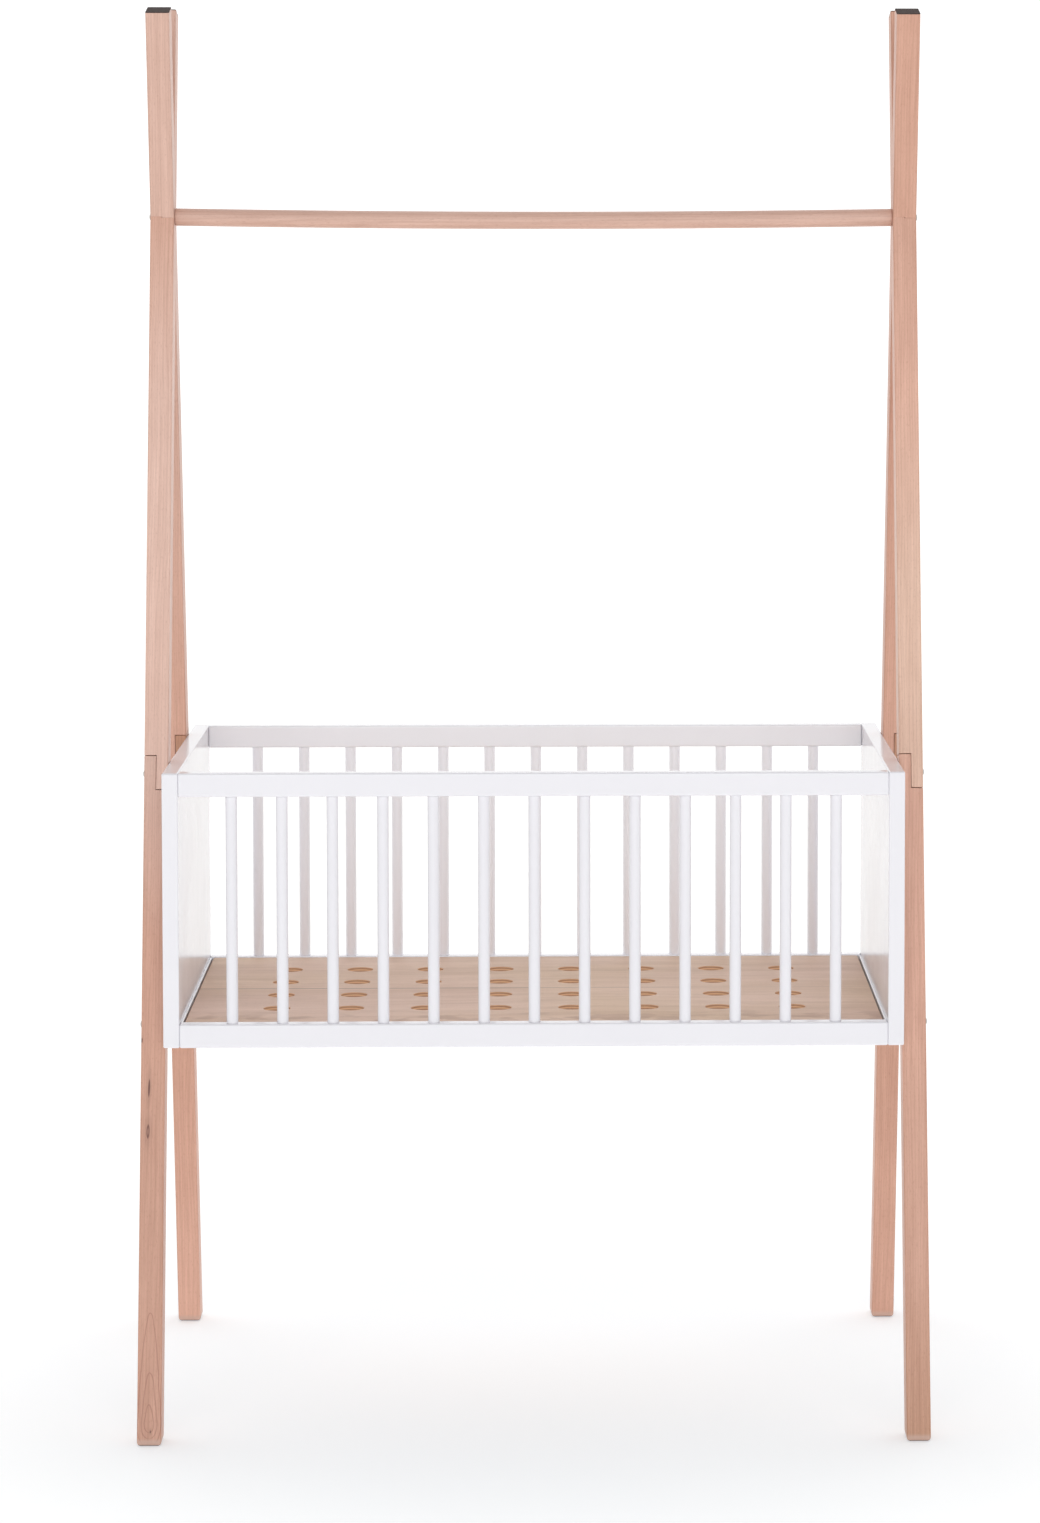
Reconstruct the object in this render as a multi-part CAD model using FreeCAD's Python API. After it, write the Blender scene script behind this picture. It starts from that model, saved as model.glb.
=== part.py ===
import FreeCAD, Part
import math
import os

os.makedirs("parts", exist_ok=True)

# Baby cradle: a white box of spindles and panels hung between two wooden A-frames.
# Frame: millimetres, +Z up, X along the cradle, Y across it, -Y is the front.
# Origin: on the floor, in the middle of the four feet.

V = FreeCAD.Vector

# ---- driving dimensions -------------------------------------------------------------

# box, sized round a 900 x 500 mattress
INSIDE_LENGTH = 906.0
INSIDE_WIDTH = 505.0
BOX_BOTTOM = 496.5
BOX_TOP = 849.5
PANEL_THICK = 20.5
RAIL_THICK = 22.0
RAIL_HEIGHT = 30.5
PAINTED_EDGE = 3.0

# spindles
SPINDLE_DIAMETER = 15.0
SPINDLE_PITCH = 64.3
SPINDLE_COUNT = 13
SPINDLE_SET = 10.0

# A-frames
LEG_THICK = 31.0
LEG_DEPTH = 40.0
LEG_EDGE = 2.5
FOOT_EDGE = 2.0
FOOT_SPREAD = 654.0
CROSSING_HEIGHT = 1554.0
LEG_TOP_HEIGHT = 1823.0
SPLICE_HEIGHT = 834.0
SPLICE_LENGTH = 45.0
CAP_THICK = 1.0

# hanging rail between the two crossings
BAR_DIAMETER = 23.0
BAR_SAG = 4.0

# base board
BOARD_THICK = 9.0
BOARD_DROP = 1.2
BOARD_SIDE_GAP = 1.0
BOARD_END_GAP = 2.6
BOARD_CORNER = 4.0
HOLE_DIAMETER = 35.0
HOLE_COLUMNS = 8
HOLE_COLUMN_PITCH = 96.0
HOLE_ROWS = 4
HOLE_ROW_PITCH = 100.0

# battens under the board
END_BATTEN_WIDTH = 20.0
END_BATTEN_HEIGHT = 18.0
END_LIP = 2.8
SIDE_BATTEN = 16.0
BATTEN_GAP = 1.0

# fasteners
BOLT_DIAMETER = 6.0
BOLT_HOLE = 6.4
HEAD_DIAMETER = 12.0
HEAD_HEIGHT = 3.0
HEAD_RECESS = 13.0
SOCKET_WIDTH = 4.0
SOCKET_DEPTH = 2.0
INSERT_DIAMETER = 10.0
PANEL_INSERT_LENGTH = 13.0
END_INSERT_LENGTH = 20.0
LOWER_BOLT_HEIGHT = 518.0
RAIL_BOLT_OFFSET = 5.5
PIN_DIAMETER = 6.0
PIN_LENGTH = 30.0
PIN_OFFSET = 8.0
SCREW_DIAMETER = 4.0
SCREW_LENGTH = 30.0
SCREW_HEAD_DIAMETER = 8.0
SCREW_HEAD_HEIGHT = 3.0
SCREW_DROP = 8.0
SIDE_SCREW_PITCH = 330.0
END_SCREW_PITCH = 180.0

# ---- worked out from them -------------------------------------------------------------

INNER_X = INSIDE_LENGTH / 2
PANEL_X = INNER_X + PANEL_THICK
OUTER_X = PANEL_X + LEG_THICK
MIDDLE_X = PANEL_X + LEG_THICK / 2
INNER_Y = INSIDE_WIDTH / 2
BOX_Y = INNER_Y + RAIL_THICK
RAIL_Y = INNER_Y + RAIL_THICK / 2
TOP_RAIL_Z = BOX_TOP - RAIL_HEIGHT / 2
LOWER_RAIL_Z = BOX_BOTTOM + RAIL_HEIGHT / 2
LOWER_RAIL_TOP = BOX_BOTTOM + RAIL_HEIGHT
BOARD_TOP = LOWER_RAIL_TOP - BOARD_DROP
BOARD_BOTTOM = BOARD_TOP - BOARD_THICK
LEAN = math.atan2(FOOT_SPREAD / 2, CROSSING_HEIGHT)

ACROSS = (-1, 1)


def block(x0, x1, y0, y1, z0, z1):
    """A box from its lowest to its highest corner."""
    return Part.makeBox(x1 - x0, y1 - y0, z1 - z0, V(x0, y0, z0))


def rod_x(diameter, x0, x1, y, z):
    """A round bar along X."""
    return Part.makeCylinder(diameter / 2, abs(x1 - x0), V(min(x0, x1), y, z), V(1, 0, 0))


def long_edges(shape, direction):
    """The straight edges of a shape that run along one direction."""
    found = []
    for edge in shape.Edges:
        ends = [vertex.Point for vertex in edge.Vertexes]
        if len(ends) == 2:
            run = (ends[1] - ends[0]).normalize()
            if abs(run.dot(direction)) > 0.999:
                found.append(edge)
    return found


def write(name, *solids):
    """One STEP file for one node, as a single solid or a group of separate ones."""
    shape = solids[0] if len(solids) == 1 else Part.makeCompound(list(solids))
    if not shape.isValid():
        raise ValueError(name + " is not a valid shape")
    shape.exportStep("parts/" + name + ".step")


# ---- A-frame legs -----------------------------------------------------------------------

def along_leg(height):
    """Distance along a leg's centre line from the crossing to a height, down is negative."""
    return (height - CROSSING_HEIGHT) / math.cos(LEAN)


def leg_y(height, front):
    """Where a leg's centre line is across the cradle at a height. Front is -1, back is 1."""
    return front * (CROSSING_HEIGHT - height) * math.tan(LEAN)


def lean_over(shape, front):
    """Tips a piece built upright round the crossing, so that its foot goes to its own side."""
    tipped = shape.copy()
    tipped.rotate(V(0, 0, 0), V(1, 0, 0), front * math.degrees(LEAN))
    tipped.translate(V(0, 0, CROSSING_HEIGHT))
    return tipped


def leg_bar(side, front, low, high):
    """A straight leg bar with eased edges, between two distances from the crossing."""
    x0 = side * MIDDLE_X - LEG_THICK / 2
    bar = block(x0, x0 + LEG_THICK, -LEG_DEPTH / 2, LEG_DEPTH / 2, low, high)
    bar = bar.makeFillet(LEG_EDGE, long_edges(bar, V(0, 0, 1)))
    return lean_over(bar, front)


def half_of_leg(side, front, outer, low, high):
    """The outer or inner half of a leg's thickness, between two distances along it."""
    toward_outside = 1 if outer else -1
    x0 = side * MIDDLE_X
    x1 = x0 + side * toward_outside * LEG_THICK
    half = block(min(x0, x1), max(x0, x1), -LEG_DEPTH, LEG_DEPTH, low, high)
    return lean_over(half, front)


def ease_foot(bar):
    """Rounds the edges of the flat foot where it stands on the floor."""
    rim = [edge for edge in bar.Edges if edge.BoundBox.ZMax < 0.01]
    return bar.makeFillet(FOOT_EDGE, rim)


def outer_tongue(side, front):
    """Legs come in two hands: this one has the outer half of its thickness at both laps."""
    return side * front > 0


def lower_leg(side, front):
    """Foot to splice, with a tongue of half its thickness at the top."""
    splice = along_leg(SPLICE_HEIGHT)
    low = along_leg(0) - LEG_DEPTH
    bar = leg_bar(side, front, low, splice + SPLICE_LENGTH / 2)
    bar = bar.cut(block(-2 * OUTER_X, 2 * OUTER_X, -FOOT_SPREAD, FOOT_SPREAD, -2 * LEG_DEPTH, 0))
    bar = ease_foot(bar)
    away = half_of_leg(
        side, front, not outer_tongue(side, front),
        splice - SPLICE_LENGTH / 2, splice + SPLICE_LENGTH)
    bar = bar.cut(away)
    for height in (SPLICE_HEIGHT, LOWER_BOLT_HEIGHT):
        hole = rod_x(BOLT_HOLE, side * PANEL_X, side * OUTER_X, leg_y(height, front), height)
        bar = bar.cut(hole)
    return bar


def upper_leg(side, front):
    """Splice to top, with a tongue at the bottom and a half lap where it crosses its mate."""
    splice = along_leg(SPLICE_HEIGHT)
    outer = outer_tongue(side, front)
    bar = leg_bar(side, front, splice - SPLICE_LENGTH / 2, along_leg(LEG_TOP_HEIGHT))
    away = half_of_leg(
        side, front, outer, splice - SPLICE_LENGTH, splice + SPLICE_LENGTH / 2)
    bar = bar.cut(away)
    x0 = side * MIDDLE_X
    x1 = x0 + side * (-1 if outer else 1) * LEG_THICK
    reach = LEG_DEPTH / math.sin(2 * LEAN)
    mate = block(min(x0, x1), max(x0, x1), -LEG_DEPTH / 2, LEG_DEPTH / 2, -reach, reach)
    bar = bar.cut(lean_over(mate, -front))
    bolts = (
        (leg_y(SPLICE_HEIGHT, front), SPLICE_HEIGHT),
        (0, CROSSING_HEIGHT),
    )
    for y, height in bolts:
        bar = bar.cut(rod_x(BOLT_HOLE, side * PANEL_X, side * OUTER_X, y, height))
    return bar


def leg_cap(side, front):
    """Thin dark plate on the sawn top end of a leg."""
    top = along_leg(LEG_TOP_HEIGHT)
    return leg_bar(side, front, top, top + CAP_THICK)


def make_legs():
    for front, depth_name in ((-1, "front"), (1, "back")):
        for side, side_name in ((-1, "left"), (1, "right")):
            place = depth_name + "_" + side_name
            write("leg_lower_" + place, lower_leg(side, front))
            write("leg_upper_" + place, upper_leg(side, front))
            write("leg_cap_" + place, leg_cap(side, front))


# ---- box: end panels, rails and spindles ---------------------------------------------------

def spindle_places():
    first = -SPINDLE_PITCH * (SPINDLE_COUNT - 1) / 2
    return [first + SPINDLE_PITCH * n for n in range(SPINDLE_COUNT)]


def rail_levels():
    """Height of each rail, of its bolt and of its pin, top rail first."""
    return (
        (TOP_RAIL_Z, TOP_RAIL_Z - RAIL_BOLT_OFFSET, TOP_RAIL_Z + PIN_OFFSET),
        (LOWER_RAIL_Z, LOWER_RAIL_Z + RAIL_BOLT_OFFSET, LOWER_RAIL_Z - PIN_OFFSET),
    )


def leg_bolt_places():
    """Across and up, where each leg is bolted to its end panel."""
    return [
        (leg_y(height, front), height)
        for front in ACROSS
        for height in (SPLICE_HEIGHT, LOWER_BOLT_HEIGHT)
    ]


def end_panel(side):
    near = side * INNER_X
    far = side * PANEL_X
    panel = block(min(near, far), max(near, far), -BOX_Y, BOX_Y, BOX_BOTTOM, BOX_TOP)
    panel = panel.makeFillet(PAINTED_EDGE, panel.Edges)
    for y, z in leg_bolt_places():
        depth = far - side * PANEL_INSERT_LENGTH
        panel = panel.cut(rod_x(INSERT_DIAMETER, far, depth, y, z))
    for front in ACROSS:
        for rail_z, bolt_z, pin_z in rail_levels():
            panel = panel.cut(rod_x(BOLT_HOLE, near, far, front * RAIL_Y, bolt_z))
            seat = far - side * HEAD_HEIGHT
            panel = panel.cut(rod_x(HEAD_RECESS, seat, far, front * RAIL_Y, bolt_z))
            pin_end = near + side * PIN_LENGTH / 2
            panel = panel.cut(rod_x(PIN_DIAMETER, near, pin_end, front * RAIL_Y, pin_z))
    for tip, y, z in end_screw_places(side):
        panel = panel.cut(screw(tip, y, z, V(side, 0, 0)))
    return panel


def rail(front, level):
    """A square rail with eased long edges, bored for its spindles, inserts and pins."""
    rail_z, bolt_z, pin_z = rail_levels()[level]
    y = front * RAIL_Y
    bar = block(
        -INNER_X, INNER_X, y - RAIL_THICK / 2, y + RAIL_THICK / 2,
        rail_z - RAIL_HEIGHT / 2, rail_z + RAIL_HEIGHT / 2)
    bar = bar.makeFillet(PAINTED_EDGE, long_edges(bar, V(1, 0, 0)))
    is_top = level == 0
    bore_z = BOX_TOP - RAIL_HEIGHT if is_top else LOWER_RAIL_TOP - SPINDLE_SET
    bores = [
        Part.makeCylinder(SPINDLE_DIAMETER / 2, SPINDLE_SET, V(x, y, bore_z))
        for x in spindle_places()
    ]
    for side in ACROSS:
        end = side * INNER_X
        bores.append(rod_x(INSERT_DIAMETER, end, end - side * END_INSERT_LENGTH, y, bolt_z))
        bores.append(rod_x(PIN_DIAMETER, end, end - side * PIN_LENGTH / 2, y, pin_z))
    if not is_top:
        for x, tip, z in side_screw_places(front):
            bores.append(screw(x, tip, z, V(0, front, 0)))
    return bar.cut(Part.makeCompound(bores))


def spindle(front, x):
    low = LOWER_RAIL_TOP - SPINDLE_SET
    high = BOX_TOP - RAIL_HEIGHT + SPINDLE_SET
    return Part.makeCylinder(SPINDLE_DIAMETER / 2, high - low, V(x, front * RAIL_Y, low))


def make_box():
    for side, side_name in ((-1, "left"), (1, "right")):
        write("end_panel_" + side_name, end_panel(side))
    for front, depth_name in ((-1, "front"), (1, "back")):
        write("top_rail_" + depth_name, rail(front, 0))
        write("lower_rail_" + depth_name, rail(front, 1))
        for number, x in enumerate(spindle_places(), start=1):
            write("spindle_%s_%02d" % (depth_name, number), spindle(front, x))


# ---- base board and the battens that it rests on -------------------------------------------

def centred(count, pitch):
    """Evenly spaced places either side of the middle."""
    return [(n - (count - 1) / 2) * pitch for n in range(count)]


def base_board():
    """Loose plywood board with a grid of air holes."""
    half_length = INNER_X - END_LIP - BOARD_END_GAP
    half_width = INNER_Y - BOARD_SIDE_GAP
    board = block(-half_length, half_length, -half_width, half_width, BOARD_BOTTOM, BOARD_TOP)
    board = board.makeFillet(BOARD_CORNER, long_edges(board, V(0, 0, 1)))
    holes = [
        Part.makeCylinder(HOLE_DIAMETER / 2, BOARD_THICK, V(x, y, BOARD_BOTTOM))
        for x in centred(HOLE_COLUMNS, HOLE_COLUMN_PITCH)
        for y in centred(HOLE_ROWS, HOLE_ROW_PITCH)
    ]
    return board.cut(Part.makeCompound(holes))


def end_batten(side):
    """Batten on an end panel: a ledge under the board, and a lip as high as its top."""
    near = side * (INNER_X - END_BATTEN_WIDTH)
    far = side * INNER_X
    half_width = INNER_Y - BATTEN_GAP
    low = BOARD_BOTTOM - END_BATTEN_HEIGHT
    ledge = block(min(near, far), max(near, far), -half_width, half_width, low, BOARD_BOTTOM)
    lip_near = side * (INNER_X - END_LIP)
    lip = block(
        min(lip_near, far), max(lip_near, far), -half_width, half_width,
        BOARD_BOTTOM, BOARD_TOP)
    batten = ledge.fuse(lip).removeSplitter()
    for tip, y, z in end_screw_places(side):
        batten = batten.cut(screw(tip, y, z, V(side, 0, 0)))
    return batten


def side_batten(front):
    """Square batten under a long edge of the board, on the inside of the lower rail."""
    half_length = INNER_X - END_BATTEN_WIDTH - BATTEN_GAP
    near = front * (INNER_Y - SIDE_BATTEN)
    far = front * INNER_Y
    batten = block(
        -half_length, half_length, min(near, far), max(near, far),
        BOARD_BOTTOM - SIDE_BATTEN, BOARD_BOTTOM)
    for x, tip, z in side_screw_places(front):
        batten = batten.cut(screw(x, tip, z, V(0, front, 0)))
    return batten


def screw(x, y, z, direction):
    """Countersunk wood screw, its head face at a point, its shank along a direction."""
    start = V(x, y, z)
    head = Part.makeCone(
        SCREW_HEAD_DIAMETER / 2, SCREW_DIAMETER / 2, SCREW_HEAD_HEIGHT, start, direction)
    shank_start = start + direction * SCREW_HEAD_HEIGHT
    shank = Part.makeCylinder(
        SCREW_DIAMETER / 2, SCREW_LENGTH - SCREW_HEAD_HEIGHT, shank_start, direction)
    return head.fuse(shank)


def side_screw_places(front):
    """Head of each screw through a side batten: x, y and height."""
    y = front * (INNER_Y - SIDE_BATTEN)
    return [(x, y, BOARD_BOTTOM - SCREW_DROP) for x in centred(3, SIDE_SCREW_PITCH)]


def end_screw_places(side):
    """Head of each screw through an end batten: x, y and height."""
    x = side * (INNER_X - END_BATTEN_WIDTH)
    return [(x, y, BOARD_BOTTOM - SCREW_DROP) for y in centred(3, END_SCREW_PITCH)]


def make_base():
    write("base_board", base_board())
    screws = []
    for side, side_name in ((-1, "left"), (1, "right")):
        write("end_batten_" + side_name, end_batten(side))
        screws += [screw(x, y, z, V(side, 0, 0)) for x, y, z in end_screw_places(side)]
    for front, depth_name in ((-1, "front"), (1, "back")):
        write("side_batten_" + depth_name, side_batten(front))
        screws += [screw(x, y, z, V(0, front, 0)) for x, y, z in side_screw_places(front)]
    write("batten_screws", *screws)


# ---- hanging rail ---------------------------------------------------------------------------

def hanging_rail():
    """Round wooden rail with a slight sag, sawn flush to the legs' inner faces."""
    half = PANEL_X
    overrun = 10.0
    middle_z = CROSSING_HEIGHT - BAR_SAG
    radius = (half ** 2 + BAR_SAG ** 2) / (2 * BAR_SAG)
    reach = math.asin((half + overrun) / radius)
    end_x = radius * math.sin(reach)
    end_z = middle_z + radius * (1 - math.cos(reach))
    path = Part.Arc(V(-end_x, 0, end_z), V(0, 0, middle_z), V(end_x, 0, end_z)).toShape()
    tangent = V(math.cos(reach), 0, -math.sin(reach))
    section = Part.Wire(Part.makeCircle(BAR_DIAMETER / 2, V(-end_x, 0, end_z), tangent))
    bar = Part.Wire(path).makePipeShell([section], True, False)
    bar = bar.common(block(-half, half, -BAR_DIAMETER, BAR_DIAMETER, 0, 2 * CROSSING_HEIGHT))
    for side in ACROSS:
        end = side * half
        pocket = rod_x(INSERT_DIAMETER, end, end - side * END_INSERT_LENGTH, 0, CROSSING_HEIGHT)
        bar = bar.cut(pocket)
    return bar


# ---- fasteners ------------------------------------------------------------------------------

def bolt(side, face_x, y, z, shank):
    """Button head bolt with a hexagon socket, head on a face that looks outwards along X."""
    outward = V(side, 0, 0)
    start = V(face_x, y, z)
    cap_radius = HEAD_DIAMETER / 2
    sphere_radius = (cap_radius ** 2 + HEAD_HEIGHT ** 2) / (2 * HEAD_HEIGHT)
    ball = Part.makeSphere(sphere_radius, start + outward * (HEAD_HEIGHT - sphere_radius))
    head = ball.common(Part.makeCylinder(cap_radius, HEAD_HEIGHT, start, outward))
    corner = SOCKET_WIDTH / math.sqrt(3)
    socket_face = start + outward * (HEAD_HEIGHT - SOCKET_DEPTH)
    ring = []
    for n in range(7):
        turn = math.radians(60 * n)
        ring.append(socket_face + V(0, corner * math.cos(turn), corner * math.sin(turn)))
    socket = Part.Face(Part.makePolygon(ring)).extrude(outward * HEAD_HEIGHT)
    head = head.cut(socket)
    return head.fuse(rod_x(BOLT_DIAMETER, face_x, face_x - side * shank, y, z))


def insert(x0, x1, y, z):
    """Threaded sleeve, drawn as a plain ring round the bolt."""
    return rod_x(INSERT_DIAMETER, x0, x1, y, z).cut(rod_x(BOLT_DIAMETER, x0, x1, y, z))


def make_fasteners():
    panel_bolts = []
    panel_inserts = []
    bar_bolts = []
    bar_inserts = []
    rail_bolts = []
    rail_inserts = []
    rail_pins = []
    for side in ACROSS:
        outer = side * OUTER_X
        panel = side * PANEL_X
        inner = side * INNER_X
        for y, z in leg_bolt_places():
            panel_bolts.append(bolt(side, outer, y, z, LEG_THICK + PANEL_INSERT_LENGTH))
            panel_inserts.append(insert(panel, panel - side * PANEL_INSERT_LENGTH, y, z))
        bar_bolts.append(bolt(side, outer, 0, CROSSING_HEIGHT, LEG_THICK + END_INSERT_LENGTH))
        bar_inserts.append(insert(panel, panel - side * END_INSERT_LENGTH, 0, CROSSING_HEIGHT))
        for front in ACROSS:
            y = front * RAIL_Y
            for rail_z, bolt_z, pin_z in rail_levels():
                seat = panel - side * HEAD_HEIGHT
                shank = PANEL_THICK - HEAD_HEIGHT + END_INSERT_LENGTH
                rail_bolts.append(bolt(side, seat, y, bolt_z, shank))
                rail_inserts.append(insert(inner, inner - side * END_INSERT_LENGTH, y, bolt_z))
                reach = PIN_LENGTH / 2
                rail_pins.append(rod_x(PIN_DIAMETER, inner - reach, inner + reach, y, pin_z))
    write("leg_to_panel_bolts", *panel_bolts)
    write("leg_to_panel_inserts", *panel_inserts)
    write("hanging_rail_bolts", *bar_bolts)
    write("hanging_rail_inserts", *bar_inserts)
    write("rail_to_panel_bolts", *rail_bolts)
    write("rail_to_panel_inserts", *rail_inserts)
    write("rail_to_panel_pins", *rail_pins)


make_legs()
make_box()
make_base()
write("hanging_rail", hanging_rail())
make_fasteners()
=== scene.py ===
import math

import bmesh
import bpy
from mathutils import Matrix, Vector


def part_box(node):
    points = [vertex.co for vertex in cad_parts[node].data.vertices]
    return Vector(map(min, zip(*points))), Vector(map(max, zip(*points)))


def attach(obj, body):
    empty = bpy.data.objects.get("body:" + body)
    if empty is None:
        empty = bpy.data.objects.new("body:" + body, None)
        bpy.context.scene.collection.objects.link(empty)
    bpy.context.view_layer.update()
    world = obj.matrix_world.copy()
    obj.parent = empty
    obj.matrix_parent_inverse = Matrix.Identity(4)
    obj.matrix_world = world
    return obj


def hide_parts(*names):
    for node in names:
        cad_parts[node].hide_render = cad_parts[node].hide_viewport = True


# Baby cradle: the looks of each piece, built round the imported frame.
# Metres, +Z up, X along the cradle, -Y is the front, origin on the floor in the middle of the feet.

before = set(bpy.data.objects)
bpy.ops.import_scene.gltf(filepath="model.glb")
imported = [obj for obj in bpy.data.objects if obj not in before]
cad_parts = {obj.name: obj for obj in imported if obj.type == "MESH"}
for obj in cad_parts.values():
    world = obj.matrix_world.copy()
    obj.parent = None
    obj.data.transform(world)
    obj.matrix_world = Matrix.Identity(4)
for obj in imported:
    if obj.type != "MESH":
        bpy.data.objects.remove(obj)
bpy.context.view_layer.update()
scene = bpy.context.scene

# ---- sizes ----------------------------------------------------------------------------

MM = 0.001

# taken from the frame
PANEL_LO, PANEL_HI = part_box("end_panel_right")
INNER_X = PANEL_LO.x
PANEL_X = PANEL_HI.x
OUTER_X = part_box("leg_lower_front_right")[1].x
BAR_BOLT_LO, BAR_BOLT_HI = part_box("hanging_rail_bolts")
CROSSING_HEIGHT = (BAR_BOLT_LO.z + BAR_BOLT_HI.z) / 2
HEAD_RADIUS = (BAR_BOLT_HI.z - BAR_BOLT_LO.z) / 2
LEG_BOLT_LO, LEG_BOLT_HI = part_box("leg_to_panel_bolts")
SPLICE_HEIGHT = LEG_BOLT_HI.z - HEAD_RADIUS
LOWER_BOLT_HEIGHT = LEG_BOLT_LO.z + HEAD_RADIUS
FOOT_Y = (LEG_BOLT_HI.y - HEAD_RADIUS) * CROSSING_HEIGHT / (CROSSING_HEIGHT - LOWER_BOLT_HEIGHT)
LEAN = math.atan2(FOOT_Y, CROSSING_HEIGHT)
BOARD_LO, BOARD_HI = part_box("base_board")

# the same driving sizes as the frame's
LEG_THICK = 31 * MM
LEG_DEPTH = 40 * MM
LEG_TOP_HEIGHT = 1823 * MM
CAP_THICK = 1 * MM
SPLICE_LENGTH = 45 * MM
BAR_DIAMETER = 23 * MM
BAR_SAG = 4 * MM
HOLE_DIAMETER = 35 * MM
HOLE_COLUMNS = 8
HOLE_COLUMN_PITCH = 96 * MM
HOLE_ROWS = 4
HOLE_ROW_PITCH = 100 * MM
SPINDLE_COUNT = 13
HEAD_HEIGHT = 3 * MM
HEAD_RECESS = 13 * MM
SOCKET_WIDTH = 4 * MM
SOCKET_DEPTH = 2 * MM
BOLT_DIAMETER = 6 * MM
PANEL_INSERT_LENGTH = 13 * MM
END_INSERT_LENGTH = 20 * MM
RAIL_BOLT_OFFSET = 5.5 * MM
END_BATTEN_WIDTH = 20 * MM
BOARD_END_GAP = 2.6 * MM
BOARD_CORNER = 4 * MM

# rounding of edges
LEG_EDGE = 2.2 * MM
FOOT_EDGE = 5 * MM
JOINT_EDGE = 0.5 * MM
JOINT_GAP = 0.9 * MM
JOINT_SLIT = 0.5 * MM
RAIL_EDGE = 3 * MM
RAIL_END_EDGE = 2.8 * MM
PANEL_CORNER = 3 * MM
PANEL_OUTER_EDGE = 2 * MM
PANEL_INNER_EDGE = 1.8 * MM
BAR_END_EDGE = 1.1 * MM
BOARD_EDGE = 0.5 * MM
BATTEN_EDGE = 0.6 * MM
SPINDLE_DRAW = 0.7 * MM
SPINDLE_NECK = 1.1 * MM
CORNER_STEPS = 6
SHARP_ANGLE = math.radians(50)

ENDS = ((-1, "left"), (1, "right"))
DEPTHS = ((-1, "front"), (1, "back"))


# ---- mesh helpers -----------------------------------------------------------------------

def loft(name, rings):
    """A closed mesh through rings of points, capped at both ends."""
    mesh = bpy.data.meshes.new(name)
    bm = bmesh.new()
    loops = [[bm.verts.new(point) for point in ring] for ring in rings]
    for first, second in zip(loops, loops[1:]):
        for n in range(len(first)):
            after = (n + 1) % len(first)
            bm.faces.new((first[n], first[after], second[after], second[n]))
    bm.faces.new(list(reversed(loops[0])))
    bm.faces.new(loops[-1])
    bmesh.ops.recalc_face_normals(bm, faces=bm.faces)
    bm.to_mesh(mesh)
    bm.free()
    return mesh


def rounded_loop(half_a, half_b, radius):
    """Points round a rectangle with round corners, counter-clockwise."""
    loop = []
    for quarter, (side_a, side_b) in enumerate(((1, 1), (-1, 1), (-1, -1), (1, -1))):
        for n in range(CORNER_STEPS + 1):
            turn = math.pi / 2 * (quarter + n / CORNER_STEPS)
            a = side_a * (half_a - radius) + radius * math.cos(turn)
            b = side_b * (half_b - radius) + radius * math.sin(turn)
            loop.append((a, b))
    return loop


def rounded_box(name, lo, hi, axis, edge, low_edge, high_edge):
    """A bar along one axis with round long edges, and round edges of their own size at each end."""
    centre = (lo + hi) / 2
    half = (hi - lo) / 2
    axis_a, axis_b = (axis + 1) % 3, (axis + 2) % 3
    sections = []
    turns = [math.pi / 2 * n / CORNER_STEPS for n in range(CORNER_STEPS + 1)]
    for turn in turns:
        sections.append((-half[axis] + low_edge * (1 - math.cos(turn)), low_edge * (1 - math.sin(turn))))
    for turn in reversed(turns):
        sections.append((half[axis] - high_edge * (1 - math.cos(turn)), high_edge * (1 - math.sin(turn))))
    rings = []
    smallest = 0.3 * MM
    for along, inset in sections:
        radius = max(edge - inset, smallest)
        ring = []
        for a, b in rounded_loop(half[axis_a] - inset, half[axis_b] - inset, radius):
            point = centre.copy()
            point[axis] += along
            point[axis_a] += a
            point[axis_b] += b
            ring.append(point)
        rings.append(ring)
    return loft(name, rings)


def evaluated(mesh, kind, **settings):
    """The mesh after one modifier, as a new mesh."""
    carrier = bpy.data.objects.new(mesh.name, mesh)
    scene.collection.objects.link(carrier)
    modifier = carrier.modifiers.new("once", kind)
    for name, setting in settings.items():
        setattr(modifier, name, setting)
    depsgraph = bpy.context.evaluated_depsgraph_get()
    result = bpy.data.meshes.new_from_object(carrier.evaluated_get(depsgraph))
    bpy.data.objects.remove(carrier)
    bpy.data.meshes.remove(mesh)
    return result


def bored(mesh, cutters):
    """The mesh with round pockets cut out of it."""
    tool = bpy.data.objects.new("pockets", cutters)
    scene.collection.objects.link(tool)
    result = evaluated(mesh, "BOOLEAN", operation="DIFFERENCE", solver="EXACT", object=tool)
    bpy.data.objects.remove(tool)
    bpy.data.meshes.remove(cutters)
    return result


def circle(radius, along, steps):
    """One ring of a turned piece, as points across and along."""
    turns = [2 * math.pi * n / steps for n in range(steps)]
    return [Vector((radius * math.cos(t), radius * math.sin(t), along)) for t in turns]


def store_grain(mesh, place):
    """Keeps where each point is in its own piece of timber: two ways across the grain, then along it."""
    layer = mesh.attributes.new("grain", "FLOAT_VECTOR", "POINT")
    for vertex, item in zip(mesh.vertices, layer.data):
        item.vector = place(vertex.co)


def shade(piece):
    """Smooth shading that keeps flat faces flat and real corners sharp."""
    piece.data.shade_smooth()
    piece.data.set_sharp_from_angle(angle=SHARP_ANGLE)
    weighted = piece.modifiers.new("flat faces", "WEIGHTED_NORMAL")
    weighted.keep_sharp = True


def add_piece(node, mesh, material, body="stand"):
    """Shows a mesh in place of a CAD node and fastens it to a body."""
    piece = bpy.data.objects.new(node + "_visual", mesh)
    scene.collection.objects.link(piece)
    if not mesh.materials:
        mesh.materials.append(material)
    shade(piece)
    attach(piece, body)
    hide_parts(node)
    return piece


# ---- material helpers ---------------------------------------------------------------------

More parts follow.
